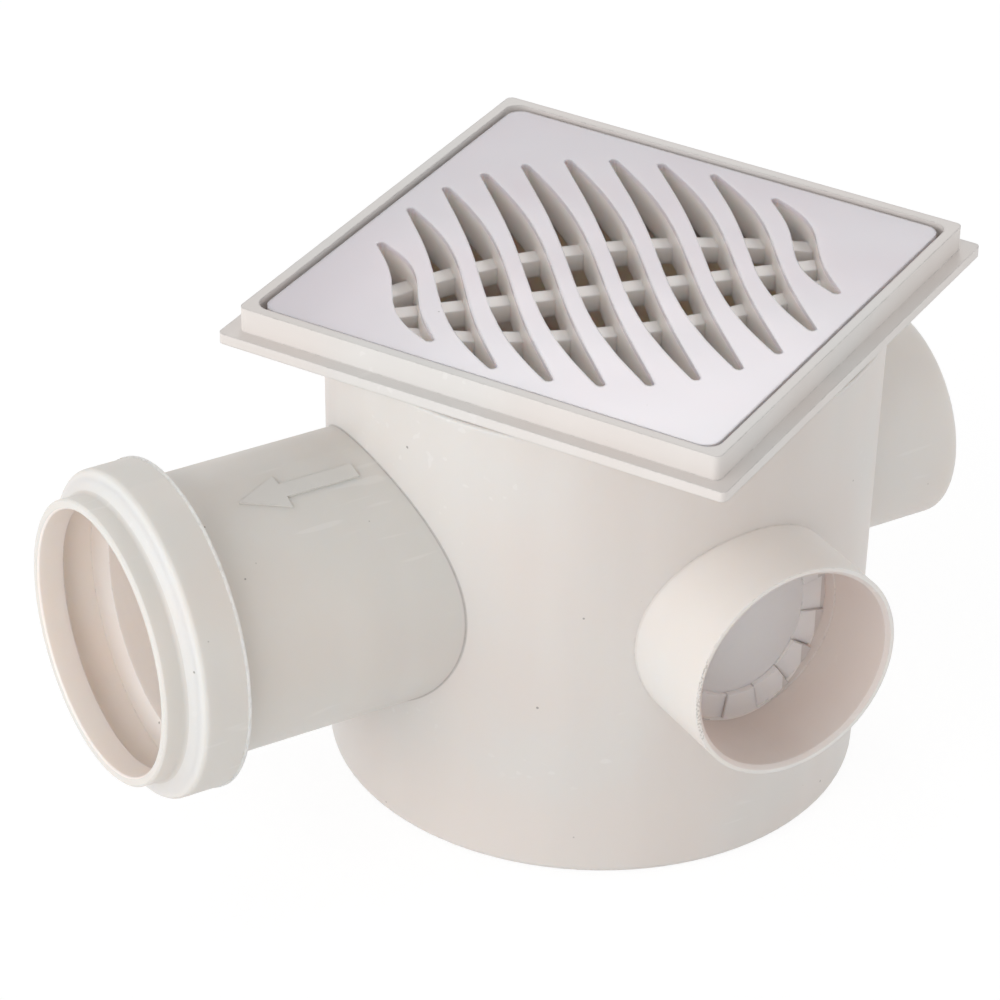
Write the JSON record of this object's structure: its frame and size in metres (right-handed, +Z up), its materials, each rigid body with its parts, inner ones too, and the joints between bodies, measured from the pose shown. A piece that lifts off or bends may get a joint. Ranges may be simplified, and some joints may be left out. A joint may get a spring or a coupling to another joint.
{
  "type": "gully trap",
  "caption": "Round floor gully trap with a slotted square grille in a turning frame, a ring-seal outlet socket, closed side inlets and a drop-in trap hood.",
  "frame": {"origin": "centre of the flat underside, on the axis of the round sump", "axes": "+Z up along the sump's axis; the outlet points along -X, the inlets along +X, -Y and +Y"},
  "size_m": [0.1791, 0.1432, 0.1033],
  "materials": {
    "body_pvc": "satin warm off-white PVC",
    "inner_pvc": "satin off-white PVC",
    "frame_pvc": "satin cream PVC",
    "grille_plastic": "glossy cool white"
  },
  "bodies": {
    "sump": {"body": "body_pvc", "trap_hood": "inner_pvc", "cleaning_plug": "inner_pvc"},
    "top": {"frame": "frame_pvc", "grille": "grille_plastic"}
  },
  "joints": [
    {"name": "frame_turn", "type": "hinge", "parent": "sump", "child": "top", "pos_m": [0, 0, 0.096], "axis": [0, 0, 1], "continuous": true}
  ]
}
